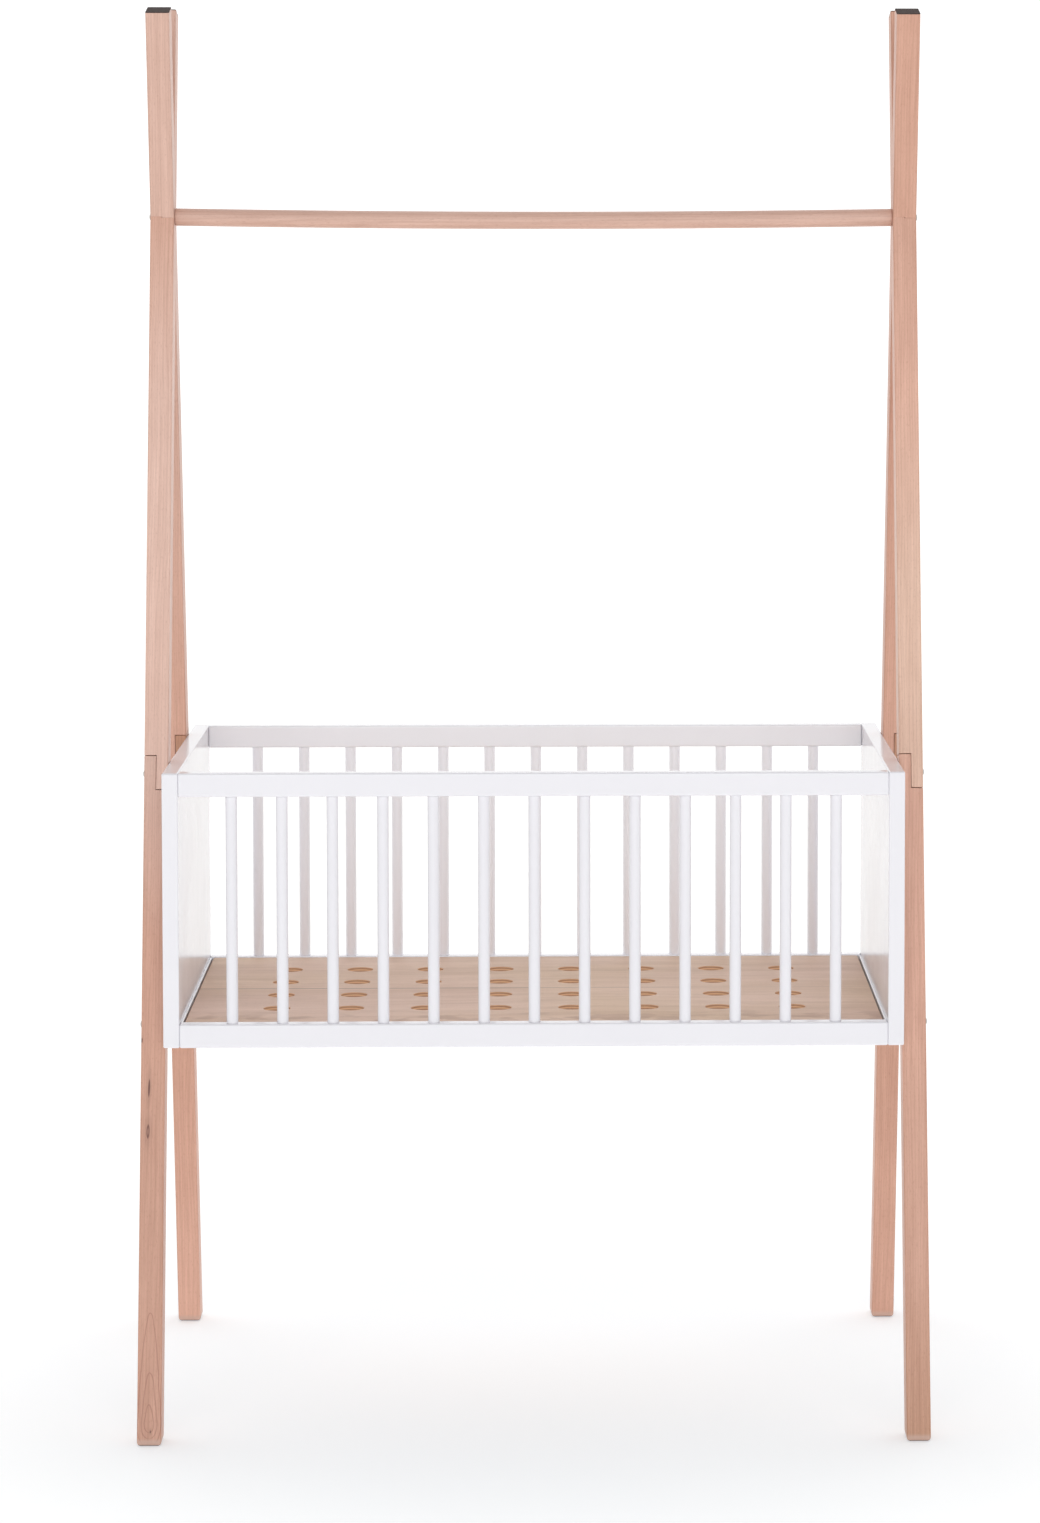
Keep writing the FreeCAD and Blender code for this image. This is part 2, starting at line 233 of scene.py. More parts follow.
class Paint:
    """A material, with short calls that add nodes to it."""

    def __init__(self, name):
        self.material = bpy.data.materials.new(name)
        self.material.use_nodes = True
        self.tree = self.material.node_tree
        self.shader = self.tree.nodes["Principled BSDF"]

    def put(self, socket, value):
        """Links a socket to another one, or sets its value."""
        if isinstance(value, bpy.types.NodeSocket):
            self.tree.links.new(value, socket)
        else:
            socket.default_value = value

    def add(self, kind, *values, **settings):
        """A new node with its first inputs filled in."""
        node = self.tree.nodes.new(kind)
        for name, setting in settings.items():
            setattr(node, name, setting)
        for socket, value in zip(node.inputs, values):
            self.put(socket, value)
        return node

    def sum(self, operation, *values):
        """One step of arithmetic."""
        return self.add("ShaderNodeMath", *values, operation=operation).outputs[0]

    def attribute(self, name):
        """A vector that is stored in the mesh."""
        return self.add("ShaderNodeAttribute", attribute_name=name).outputs["Vector"]

    def scaled(self, vector, across, along):
        """Stretches a place in the timber, across and along the grain."""
        scale = (across, across, along)
        return self.add("ShaderNodeVectorMath", vector, scale, operation="MULTIPLY").outputs[0]

    def shifted(self, vector, offset):
        return self.add("ShaderNodeVectorMath", vector, offset, operation="ADD").outputs[0]

    def noise(self, vector, scale=1.0, detail=2.0, roughness=0.5):
        node = self.add("ShaderNodeTexNoise")
        self.put(node.inputs["Vector"], vector)
        node.inputs["Scale"].default_value = scale
        node.inputs["Detail"].default_value = detail
        node.inputs["Roughness"].default_value = roughness
        return node.outputs["Fac"]

    def remap(self, value, low, high, to_low=0.0, to_high=1.0, smooth=False):
        node = self.add("ShaderNodeMapRange", interpolation_type="SMOOTHSTEP" if smooth else "LINEAR")
        for name, given in (
            ("Value", value), ("From Min", low), ("From Max", high),
            ("To Min", to_low), ("To Max", to_high),
        ):
            self.put(node.inputs[name], given)
        return node.outputs["Result"]

    def mix(self, factor, first, second, blend="MIX"):
        node = self.add("ShaderNodeMix", data_type="RGBA", blend_type=blend)
        self.put(node.inputs["Factor"], factor)
        colours = [socket for socket in node.inputs if socket.type == "RGBA"]
        self.put(colours[0], first)
        self.put(colours[1], second)
        return [socket for socket in node.outputs if socket.type == "RGBA"][0]

    def bump(self, height, distance):
        """Relief from a height between 0 and 1, at its full depth."""
        node = self.add("ShaderNodeBump")
        node.inputs["Strength"].default_value = 1.0
        node.inputs["Distance"].default_value = distance
        self.put(node.inputs["Height"], height)
        self.put(self.shader.inputs["Normal"], node.outputs["Normal"])

    def finish(self, colour, roughness, height, distance):
        """Sets the base colour and the roughness, and a bump of the given depth."""
        self.put(self.shader.inputs["Base Color"], colour)
        self.put(self.shader.inputs["Roughness"], roughness)
        self.bump(height, distance)
        return self.material


def rgba(red, green, blue):
    """An opaque colour from linear values."""
    return (red, green, blue, 1.0)


# from the tone a paint should show to its own colour: a gain, less the gloss the light adds on top
PAINT_GAIN = 1.045
PAINT_GLOSS = 0.025


def screen(red, green, blue):
    """A paint colour from the tone it should show on a screen in this light, 0 to 255."""
    linear = []
    for value in (red, green, blue):
        share = value / 255
        linear.append(share / 12.92 if share < 0.04045 else ((share + 0.055) / 1.055) ** 2.4)
    return rgba(*[channel * PAINT_GAIN - PAINT_GLOSS for channel in linear])


# ---- beech ----------------------------------------------------------------------------------

# a leg's front face, where knots and growth lines show, and where they have faded out
FRONT_FACE = -18.5 * MM
FRONT_FADE = -16.5 * MM

# growth rings: where their middle line lies across the piece and how it tilts, then the width of
# a ring, how uneven it is, and how much the rings show
PITH = (0.045, 0.012)
PITH_TILT = (0.01, 0.004)
RING_WIDTH = 3.1 * MM
RING_WANDER = 0.011
RING_SHARE = 0.22

# arched growth lines: how wide they open, and how they close below a height
ARCH_SPREAD = 1.6 * MM
ARCH_CLOSE_HEIGHT = 28 * MM
ARCH_CLOSE_RATE = 156.0

FLAME_BROWN = rgba(0.36, 0.14, 0.1)
KNOT_BROWN = rgba(0.17, 0.068, 0.048)
# painted light at the feet: a paler painted highlight for their rounded lower edge, and a dark painted
# shadow for the sole line
FOOT_PAINTED_HIGHLIGHT = rgba(0.60, 0.41, 0.335)
SOLE_PAINTED_SHADOW = rgba(0.13, 0.085, 0.07)


def multiplied(paint, colour, red, green, blue):
    """The colour, made paler or darker in each channel."""
    return paint.mix(1.0, colour, rgba(red, green, blue), blend="MULTIPLY")


def squares(paint, first, second):
    """The sum of two squares."""
    return paint.sum("ADD", paint.sum("MULTIPLY", first, first), paint.sum("MULTIPLY", second, second))


def knot_darkness(paint, a, b, along, knot):
    """How dark a small bark pocket makes a leg's front face: a slit, or an eye with a paler middle."""
    across, place, half_width, half_length, is_eye = knot
    bend = paint.sum("MULTIPLY", paint.sum("SUBTRACT", along, place), 0.03)
    du = paint.sum("DIVIDE", paint.sum("SUBTRACT", paint.sum("SUBTRACT", a, across), bend), half_width)
    dl = paint.sum("DIVIDE", paint.sum("SUBTRACT", along, place), half_length)
    out = paint.sum("SQRT", squares(paint, du, dl))
    dark = paint.remap(out, 0.55, 1.0, 1.0, 0.0, smooth=True)
    halo = paint.remap(out, 1.0, 2.6, 0.2, 0.0, smooth=True)
    if is_eye:
        dark = paint.sum("MULTIPLY", dark, paint.remap(out, 0.15, 0.6, 0.45, 1.0, smooth=True))
    dark = paint.sum("MAXIMUM", dark, halo)
    return paint.sum("MULTIPLY", dark, paint.remap(b, FRONT_FADE, FRONT_FACE))


def flame_lines(paint, a, b, along, own, flames):
    """Thin dark growth lines on a leg's front face: arches inside one another, closed near the foot."""
    sway = paint.sum("SUBTRACT", paint.noise(paint.scaled(own, 90, 30), detail=1.0), 0.5)
    across = paint.sum("MULTIPLY_ADD", sway, 3 * MM, a)
    height = paint.sum("SUBTRACT", paint.sum("MULTIPLY_ADD", sway, 5 * MM, along), along_leg(0.0))
    arch = paint.sum("MULTIPLY_ADD", paint.sum("MULTIPLY", across, across), 1 / ARCH_SPREAD, height)
    below = paint.sum("MAXIMUM", paint.sum("SUBTRACT", ARCH_CLOSE_HEIGHT, height), 0.0)
    arch = paint.sum("MULTIPLY_ADD", paint.sum("MULTIPLY", below, below), ARCH_CLOSE_RATE, arch)
    slope = paint.sum("MULTIPLY", across, 2 / ARCH_SPREAD)
    slope = paint.sum("SQRT", paint.sum("MULTIPLY_ADD", slope, slope, 1.0))
    lines = 0.0
    for apex in flames:
        off = paint.sum("ABSOLUTE", paint.sum("SUBTRACT", arch, apex))
        off = paint.sum("DIVIDE", off, slope)
        lines = paint.sum("MAXIMUM", lines, paint.remap(off, 0.35 * MM, 1.0 * MM, 1.0, 0.0, smooth=True))
    return paint.sum("MULTIPLY", lines, paint.remap(b, FRONT_FADE, FRONT_FACE))


def even_tones(paint, along, tones, reach):
    """A colour that passes through the tones at even steps of the reach along the grain."""
    low, high = reach
    step = (high - low) / (len(tones) - 1)
    base = tones[0]
    for n, tone in enumerate(tones[1:]):
        start = low + n * step
        base = paint.mix(paint.remap(along, start, start + step), base, tone)
    return base


def late_wood(paint, own, a, b, along, pith):
    """How much of each growth ring is the darker wood of late summer."""
    warp = paint.noise(paint.scaled(own, 45, 3.5), detail=1.0)
    warp = paint.sum("MULTIPLY", paint.sum("SUBTRACT", warp, 0.5), RING_WANDER)
    out_a = paint.sum("SUBTRACT", a, paint.sum("MULTIPLY_ADD", along, PITH_TILT[0], pith[0]))
    out_b = paint.sum("SUBTRACT", b, paint.sum("MULTIPLY_ADD", along, PITH_TILT[1], pith[1]))
    radius = paint.sum("ADD", paint.sum("SQRT", squares(paint, out_a, out_b)), warp)
    turn = paint.sum("FRACT", paint.sum("DIVIDE", radius, RING_WIDTH))
    late = paint.remap(turn, 0.45, 0.9, smooth=True)
    return paint.sum("MULTIPLY", late, paint.remap(turn, 0.9, 1.0, 1.0, 0.0))


def foot_painted_light(paint, colour):
    """A painted highlight on the rounded lower edge of the feet, paler where the floor lights it, and a
    painted shadow: the dark line along the sole under it.
    """
    place = paint.add("ShaderNodeTexCoord").outputs["Object"]
    height = paint.add("ShaderNodeSeparateXYZ", place).outputs[2]
    # painted highlight: the lower edge made paler, as if lit by the floor
    painted_highlight = paint.remap(height, 5 * MM, 11 * MM, 0.75, 0.0, smooth=True)
    colour = paint.mix(painted_highlight, colour, FOOT_PAINTED_HIGHLIGHT)
    # painted shadow: a dark line where the sole meets the floor
    painted_shadow = paint.remap(height, 0.8 * MM, 2.6 * MM, 0.8, 0.0, smooth=True)
    return paint.mix(painted_shadow, colour, SOLE_PAINTED_SHADOW)


def beech(name, tones, reach, seed, pith=PITH, flames=(), knots=()):
    """Oiled beech: growth rings round a pith line, streaks, fibres and ray flecks.

    The tones are its colours at even steps from the low end to the high end of its reach along the grain.
    """
    paint = Paint(name)
    grain = paint.attribute("grain")
    own = paint.shifted(grain, (seed * 1.7, seed * 0.9, seed * 3.1))
    parts = paint.add("ShaderNodeSeparateXYZ", grain)
    a, b, along = parts.outputs
    base = even_tones(paint, along, tones, reach)

    broad = paint.noise(paint.scaled(own, 28, 2.2), detail=2.0)
    patch = paint.noise(paint.scaled(own, 60, 16), detail=2.0)
    streak = paint.noise(paint.scaled(own, 330, 6), detail=3.0, roughness=0.6)
    fibre = paint.noise(paint.scaled(own, 1900, 60), detail=2.0)
    fleck_noise = paint.noise(paint.scaled(own, 900, 190), detail=1.0)
    fleck = paint.remap(fleck_noise, 0.56, 0.74, smooth=True)
    late = late_wood(paint, own, a, b, along, pith)

    tone = paint.sum("MULTIPLY", broad, 0.4)
    tone = paint.sum("MULTIPLY_ADD", patch, 0.4, tone)
    tone = paint.sum("MULTIPLY_ADD", streak, 0.95, tone)
    tone = paint.sum("MULTIPLY_ADD", late, RING_SHARE, tone)
    tone = paint.remap(tone, 0.55, 1.4)
    pale = multiplied(paint, base, 1.12, 1.13, 1.14)
    dark = multiplied(paint, base, 0.82, 0.76, 0.73)
    deep = multiplied(paint, base, 0.62, 0.5, 0.44)
    colour = paint.mix(tone, pale, dark)
    colour = paint.mix(paint.sum("MULTIPLY", fleck, 0.3), colour, deep)
    colour = paint.mix(paint.sum("MULTIPLY", paint.remap(fibre, 0.45, 0.8), 0.28), colour, deep)
    if flames:
        flame = flame_lines(paint, a, b, along, own, flames)
        colour = paint.mix(paint.sum("MULTIPLY", flame, 0.5), colour, FLAME_BROWN)
    for knot in knots:
        colour = paint.mix(knot_darkness(paint, a, b, along, knot), colour, KNOT_BROWN)
    # painted highlight and painted shadow at the feet
    colour = foot_painted_light(paint, colour)
    roughness = paint.remap(streak, 0.3, 0.7, 0.36, 0.48)
    return paint.finish(colour, roughness, paint.sum("MULTIPLY_ADD", fleck, -0.6, fibre), 0.03 * MM)


# ---- the other materials ----------------------------------------------------------------------


def lacquer(name, low, high):
    """White satin lacquer between two tones, with the faint ripple of sprayed paint over sanded wood."""
    paint = Paint(name)
    place = paint.add("ShaderNodeTexCoord").outputs["Object"]
    peel = paint.noise(place, scale=520, detail=2.0)
    cloud = paint.noise(place, scale=9, detail=2.0)
    colour = paint.mix(cloud, low, high)
    return paint.finish(colour, paint.remap(cloud, 0.3, 0.7, 0.14, 0.19), peel, 0.0004 * MM)


def plywood_face():
    """Face veneer of the base board: two sheets side by side, their wavy grain along the board, darkened
    toward the front edge by painted shade.
    """
    paint = Paint("beech_plywood_face")
    grain = paint.attribute("grain")
    parts = paint.add("ShaderNodeSeparateXYZ", grain)
    depth, _, along = parts.outputs
    bend = paint.noise(paint.scaled(grain, 3.0, 2.2), detail=1.0)
    bend = paint.sum("MULTIPLY", paint.sum("SUBTRACT", bend, 0.5), 0.09)
    bent = paint.add("ShaderNodeCombineXYZ", paint.sum("ADD", depth, bend), 0.0, along).outputs[0]
    broad = paint.noise(paint.scaled(bent, 12, 1.6), detail=2.0)
    band = paint.noise(paint.scaled(bent, 46, 3.0), detail=3.0, roughness=0.6)
    streak = paint.noise(paint.scaled(bent, 150, 9.0), detail=3.0, roughness=0.6)
    fleck = paint.remap(paint.noise(paint.scaled(grain, 900, 160), detail=1.0), 0.6, 0.75)
    hue = paint.remap(paint.noise(paint.scaled(grain, 4.0, 3.0), detail=1.0), 0.35, 0.65)
    tone = paint.sum("MULTIPLY_ADD", band, 0.6, paint.sum("MULTIPLY", broad, 0.8))
    tone = paint.sum("MULTIPLY_ADD", streak, 0.4, tone)
    tone = paint.remap(tone, 0.6, 1.25)
    tan = paint.mix(tone, rgba(0.79, 0.585, 0.44), rgba(0.585, 0.40, 0.27))
    pink = paint.mix(tone, rgba(0.81, 0.595, 0.49), rgba(0.60, 0.405, 0.305))
    colour = paint.mix(hue, tan, pink)
    colour = paint.mix(paint.sum("MULTIPLY", fleck, 0.25), colour, rgba(0.3, 0.19, 0.13))
    # painted shade: dark ruffled patches that grow toward the front edge, where the front rail and
    # spindles shade the board
    ruffled_front_shade = paint.noise(paint.scaled(grain, 24, 17), detail=2.0, roughness=0.55)
    front_shade_reach = paint.remap(depth, -0.165, -0.225, 0.08, 0.5)
    ruffled_front_shade = paint.sum("MULTIPLY", paint.remap(ruffled_front_shade, 0.5, 0.62, smooth=True), front_shade_reach)
    colour = paint.mix(ruffled_front_shade, colour, rgba(0.40, 0.245, 0.175))
    joint_depth = -1 * MM
    off_joint = paint.sum("ABSOLUTE", paint.sum("SUBTRACT", depth, joint_depth))
    joint = paint.remap(off_joint, 1.2 * MM, 3.4 * MM, 1.0, 0.0)
    joint = paint.sum("MULTIPLY", joint, paint.remap(along, 0.25, -0.1, 0.15, 0.6))
    colour = paint.mix(joint, colour, rgba(0.17, 0.1, 0.07))
    return paint.finish(colour, paint.remap(streak, 0.3, 0.7, 0.55, 0.66), streak, 0.03 * MM)


def plywood_edge():
    """Cut edge of the board: thin plies, long grain and end grain in turn."""
    paint = Paint("beech_plywood_edge")
    grain = paint.attribute("grain")
    parts = paint.add("ShaderNodeSeparateXYZ", grain)
    ply_thick = 1.8 * MM
    ply = paint.sum("DIVIDE", parts.outputs[1], ply_thick)
    turn = paint.sum("FRACT", paint.sum("MULTIPLY", ply, 0.5))
    cross = paint.remap(paint.sum("PINGPONG", turn, 0.5), 0.22, 0.28)
    wander = paint.noise(paint.scaled(grain, 500, 500), detail=2.0)
    colour = paint.mix(cross, rgba(0.36, 0.18, 0.1), rgba(0.68, 0.41, 0.24))
    colour = paint.mix(paint.sum("MULTIPLY", wander, 0.4), colour, rgba(0.62, 0.37, 0.21))
    return paint.finish(colour, paint.remap(wander, 0.3, 0.7, 0.55, 0.7), wander, 0.08 * MM)


def dark_cap():
    """Dark brown-black plastic plate with a fine matt grain."""
    paint = Paint("dark_cap")
    place = paint.add("ShaderNodeTexCoord").outputs["Object"]
    speck = paint.noise(place, scale=1400, detail=2.0)
    colour = paint.mix(speck, rgba(0.052, 0.037, 0.034), rgba(0.078, 0.055, 0.05))
    paint.shader.inputs["Specular IOR Level"].default_value = 0.18
    return paint.finish(colour, paint.remap(speck, 0.3, 0.7, 0.72, 0.84), speck, 0.03 * MM)


def nickel():
    """Nickel plated steel with light turning marks."""
    paint = Paint("nickel_steel")
    place = paint.add("ShaderNodeTexCoord").outputs["Object"]
    mark = paint.noise(place, scale=900, detail=2.0)
    colour = paint.mix(mark, rgba(0.38, 0.36, 0.34), rgba(0.5, 0.48, 0.45))
    paint.shader.inputs["Metallic"].default_value = 1.0
    return paint.finish(colour, paint.remap(mark, 0.3, 0.7, 0.26, 0.4), mark, 0.01 * MM)


def floor_paint():
    """Plain pale floor, with a little light of its own, weaker and bluer in the middle as a painted shadow
    under the cradle.
    """
    paint = Paint("pale_floor")
    place = paint.add("ShaderNodeTexCoord").outputs["Object"]
    cloud = paint.noise(place, scale=1.1, detail=2.0)
    colour = paint.mix(cloud, rgba(0.8, 0.8, 0.8), rgba(0.82, 0.82, 0.82))
    paint.put(paint.shader.inputs["Base Color"], colour)
    paint.shader.inputs["Roughness"].default_value = 0.95
    paint.shader.inputs["Specular IOR Level"].default_value = 0.1
    # painted shadow: less glow near the middle, under the cradle
    away = paint.add("ShaderNodeVectorMath", place, operation="LENGTH").outputs["Value"]
    outer = paint.remap(away, 0.3, 1.4, smooth=True)
    glow_with_painted_shadow = paint.mix(outer, rgba(0.285, 0.315, 0.34), rgba(0.465, 0.465, 0.455))
    paint.put(paint.shader.inputs["Emission Color"], glow_with_painted_shadow)
    paint.shader.inputs["Emission Strength"].default_value = 1.0
    return paint.material


# painted light: the back rails, back spindles and end battens have a brighter, bluer copy of the white
# lacquer, making up for the shade and the warm board light inside the box
WHITE = lacquer("white_lacquer", rgba(0.85, 0.843, 0.888), rgba(0.87, 0.862, 0.902))
WHITE_BACK_PAINTED_LIGHT = lacquer("white_lacquer_back_painted_light", rgba(0.93, 0.935, 0.975), rgba(0.94, 0.945, 0.985))
PLY_FACE = plywood_face()
PLY_EDGE = plywood_edge()
CAP_DARK = dark_cap()
NICKEL = nickel()


# ---- A-frame legs -------------------------------------------------------------------------

def along_leg(height):
    """Distance along a leg's centre line from the crossing to a height, down is negative."""
    return (height - CROSSING_HEIGHT) / math.cos(LEAN)


def level(distance):
    """A cut straight across a leg."""
    return lambda v: distance


def floor_cut(front):
    """The cut that lets a leaning leg stand flat on the floor."""
    turn = front * LEAN
    return lambda v: (-CROSSING_HEIGHT - v * math.sin(turn)) / math.cos(turn)


def lap_cuts(front):
    """The two slanted shoulders of the lap where a leg crosses its mate, lower one first."""
    turn = 2 * front * LEAN

    def shoulder(sign):
        gap = sign * JOINT_GAP / 2
        return lambda v: (v * math.cos(turn) + sign * LEG_DEPTH / 2) / math.sin(turn) + gap

    if turn > 0:
        return shoulder(-1), shoulder(1)
    lower = shoulder(1)
    upper = shoulder(-1)
    return (lambda v: lower(v) - JOINT_GAP), (lambda v: upper(v) + JOINT_GAP)


def outer_tongue(side, front):
    """Legs come in two hands: this lower leg has the outer half of its thickness at the splice."""
    return side * front > 0


def leg_outline(side, front, is_lower):
    """The leg's outline over its thickness, each corner as an offset and a cut across the leg.

    A lower leg's first two corners are those of its foot.
    """
    splice = along_leg(SPLICE_HEIGHT)
    shoulder = splice - SPLICE_LENGTH / 2
    tongue = splice + SPLICE_LENGTH / 2
    outward = side * LEG_THICK / 2
    with_tongue = outward if outer_tongue(side, front) else -outward
    tongue_face = math.copysign(JOINT_SLIT / 2, with_tongue)
    if is_lower:
        foot = floor_cut(front)
        return [
            (-with_tongue, foot), (with_tongue, foot), (with_tongue, level(tongue - JOINT_GAP)),
            (tongue_face, level(tongue - JOINT_GAP)), (tongue_face, level(shoulder)),
            (-with_tongue, level(shoulder)),
        ]
    top = level(along_leg(LEG_TOP_HEIGHT))
    bottom = level(shoulder + JOINT_GAP)
    lap_low, lap_high = lap_cuts(front)
    own = -with_tongue
    return [
        (-tongue_face, bottom), (own, bottom), (own, lap_low), (tongue_face, lap_low),
        (tongue_face, lap_high), (own, lap_high), (own, top), (with_tongue, top),
        (with_tongue, level(tongue)), (-tongue_face, level(tongue)),
    ]


def is_convex(corners, n):
    """Whether the outline turns the usual way at a corner."""
    before, here, after = (corners[(n + step) % len(corners)] for step in (-1, 0, 1))
    points = [Vector((u, cut(0.0))) for u, cut in (before, here, after)]
    area = sum(
        corners[m - 1][0] * cut(0.0) - u * corners[m - 1][1](0.0)
        for m, (u, cut) in enumerate(corners))
    first = points[1] - points[0]
    second = points[2] - points[1]
    return (first.x * second.y - first.y * second.x) * area > 0


def leg_mesh(name, side, front, is_lower):
    """A leg bar with its laps cut, its long edges round and its joint edges just broken."""
    corners = leg_outline(side, front, is_lower)
    bm = bmesh.new()
    weight = bm.edges.layers.float.new("bevel_weight_edge")
    faces = []
    loops = []
    for v in (-LEG_DEPTH / 2, LEG_DEPTH / 2):
        loops.append([bm.verts.new((u, v, cut(v))) for u, cut in corners])
        faces.append(bm.faces.new(loops[-1]))
    count = len(corners)
    for n in range(count):
        after = (n + 1) % count
        faces.append(bm.faces.new((loops[0][n], loops[0][after], loops[1][after], loops[1][n])))
    bmesh.ops.recalc_face_normals(bm, faces=faces)
    bm.edges.ensure_lookup_table()
    long_edge = LEG_EDGE / FOOT_EDGE
    joint_edge = JOINT_EDGE / FOOT_EDGE
    for n in range(count):
        after = (n + 1) % count
        across = bm.edges.get((loops[0][n], loops[1][n]))
        at_foot = is_lower and n < 2
        if at_foot:
            across[weight] = 1.0
        elif is_convex(corners, n):
            across[weight] = joint_edge
        for loop in loops:
            edge = bm.edges.get((loop[n], loop[after]))
            same_side = corners[n][0] == corners[after][0] and abs(corners[n][0]) > LEG_THICK / 4
            if is_lower and n == 0:
                edge[weight] = 1.0
            else:
                edge[weight] = long_edge if same_side else joint_edge
    sharp = bpy.data.meshes.new(name)
    bm.to_mesh(sharp)
    bm.free()
    return evaluated(
        sharp, "BEVEL", limit_method="WEIGHT", width=FOOT_EDGE, segments=5, use_clamp_overlap=False)


def leg_place(side, front):
    """Tips a leg round the crossing, so that its foot goes to its own side."""
    middle = side * (PANEL_X + LEG_THICK / 2)
    return Matrix.Translation((middle, 0, CROSSING_HEIGHT)) @ Matrix.Rotation(front * LEAN, 4, "X")


def add_leg(side, side_name, front, depth_name, is_lower, material):
    """One part of a leg, in its own place and its own beech."""
    node = "leg_%s_%s_%s" % ("lower" if is_lower else "upper", depth_name, side_name)
    mesh = leg_mesh(node, side, front, is_lower)
    store_grain(mesh, lambda point: point.copy())
    mesh.transform(leg_place(side, front))
    add_piece(node, mesh, material)


def add_cap(side, side_name, front, depth_name):
    """The thin dark cap on a leg's sawn top."""
    node = "leg_cap_%s_%s" % (depth_name, side_name)
    low = along_leg(LEG_TOP_HEIGHT)
    lo = Vector((-LEG_THICK / 2, -LEG_DEPTH / 2, low))
    hi = Vector((LEG_THICK / 2, LEG_DEPTH / 2, low + CAP_THICK))
    mesh = rounded_box(node, lo, hi, 2, LEG_EDGE, 0.1 * MM, 0.5 * MM)
    mesh.transform(leg_place(side, front))
    add_piece(node, mesh, CAP_DARK)


# beech tones: rosy timber is mostly on the left, honey coloured timber on the right
ROSE_PALE = screen(225, 190, 175)
ROSE = screen(215, 180, 165)
ROSE_DEEP = screen(205, 160, 140)
HONEY_PALE = screen(225, 190, 170)
HONEY_LIGHT = screen(220, 175, 155)
HONEY = screen(210, 165, 145)
HONEY_DEEP = screen(195, 150, 125)

# each leg's lower and upper part, from its low end to its high end; the steps along a leg are partly
# painted shade: the lower back legs darker toward the box above them, and the front right foot darker by
# the floor
LEG_TONES_WITH_PAINTED_SHADE = {
    ("front", "left"): (
        (ROSE_DEEP, ROSE_DEEP, ROSE_DEEP, ROSE_DEEP, ROSE),
        (ROSE_PALE, ROSE_PALE, ROSE_PALE, HONEY, ROSE),
    ),
    ("front", "right"): (
        (HONEY_DEEP, HONEY, HONEY, HONEY_LIGHT, HONEY_LIGHT),
        (HONEY_PALE, HONEY_PALE, HONEY_LIGHT, HONEY, HONEY),
    ),
    ("back", "left"): (
        (HONEY_LIGHT, HONEY, HONEY_DEEP),
        (HONEY_LIGHT, ROSE, ROSE),
    ),
    ("back", "right"): (
        (HONEY, HONEY, HONEY_DEEP),
        (HONEY_LIGHT, HONEY, HONEY),
    ),
}

# heights of the tops of the arched growth lines at the foot of the front left leg
FRONT_LEFT_FLAMES = (0.049, 0.088, 0.163)

# bark pockets in the front left leg: across, distance along, half width, half length, and whether open
FRONT_LEFT_KNOTS = (
    (-4.6 * MM, -1.141, 1.7 * MM, 15 * MM, False),
    (-5.4 * MM, -1.196, 2.6 * MM, 12 * MM, True),
    (-14.5 * MM, -1.080, 1.2 * MM, 4 * MM, False),
    (1.6 * MM, -1.5737, 0.9 * MM, 2.5 * MM, False),
)


def make_legs():
    """Four legs, each a lower part, an upper part and a cap."""
    lower_reach = (along_leg(0.0), along_leg(SPLICE_HEIGHT))
    upper_reach = (along_leg(SPLICE_HEIGHT), along_leg(LEG_TOP_HEIGHT))
    seed = 0
    for front, depth_name in DEPTHS:
        for side, side_name in ENDS:
            seed += 1
            place = depth_name + "_" + side_name
            # the tones along each leg are partly painted shade
            low_tones, high_tones = LEG_TONES_WITH_PAINTED_SHADE[depth_name, side_name]
            figured = place == "front_left"
            lower = beech(
                "beech_lower_" + place, low_tones, lower_reach, seed,
                flames=FRONT_LEFT_FLAMES if figured else (), knots=FRONT_LEFT_KNOTS if figured else ())
            upper = beech("beech_upper_" + place, high_tones, upper_reach, seed + 10)
            add_leg(side, side_name, front, depth_name, True, lower)
            add_leg(side, side_name, front, depth_name, False, upper)
            add_cap(side, side_name, front, depth_name)


# ---- hanging rail -------------------------------------------------------------------------

def make_hanging_rail():
    """Round rail that sags a little between the crossings."""
    half = PANEL_X
    sag_radius = (half ** 2 + BAR_SAG ** 2) / (2 * BAR_SAG)
    middle = CROSSING_HEIGHT - BAR_SAG
    edge = BAR_END_EDGE
    count = 40
    stations = [(-half, -edge), (-half + edge, 0.0)]
    stations += [((2 * n / count - 1) * (half - 2 * edge), 0.0) for n in range(1, count)]
    stations += [(half - edge, 0.0), (half, -edge)]
    rings = []
    for x, grow in stations:
        z = middle + sag_radius - math.sqrt(sag_radius ** 2 - x ** 2)
        ring = circle(BAR_DIAMETER / 2 + grow, 0.0, count)
        rings.append([Vector((x, point.x, z + point.y)) for point in ring])
    mesh = loft("hanging_rail", rings)
    store_grain(mesh, lambda point: Vector((point.y, point.z - CROSSING_HEIGHT, point.x)))
    material = beech("beech_rail", (ROSE, ROSE), (-half, half), 31, pith=(0.05, 0.03))
    add_piece("hanging_rail", mesh, material)


# ---- box ------------------------------------------------------------------------------------

def rail_bolt_places(side, x):
    """Matrices for the four bolts through an end panel, at a distance out along X."""
    places = []
    for _, depth_name in DEPTHS:
        for level_name, offset in (("top", -RAIL_BOLT_OFFSET), ("lower", RAIL_BOLT_OFFSET)):
            lo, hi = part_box(level_name + "_rail_" + depth_name)
            place = (side * x, (lo.y + hi.y) / 2, (lo.z + hi.z) / 2 + offset)
            places.append(facing((side, 0, 0), place))
    return places


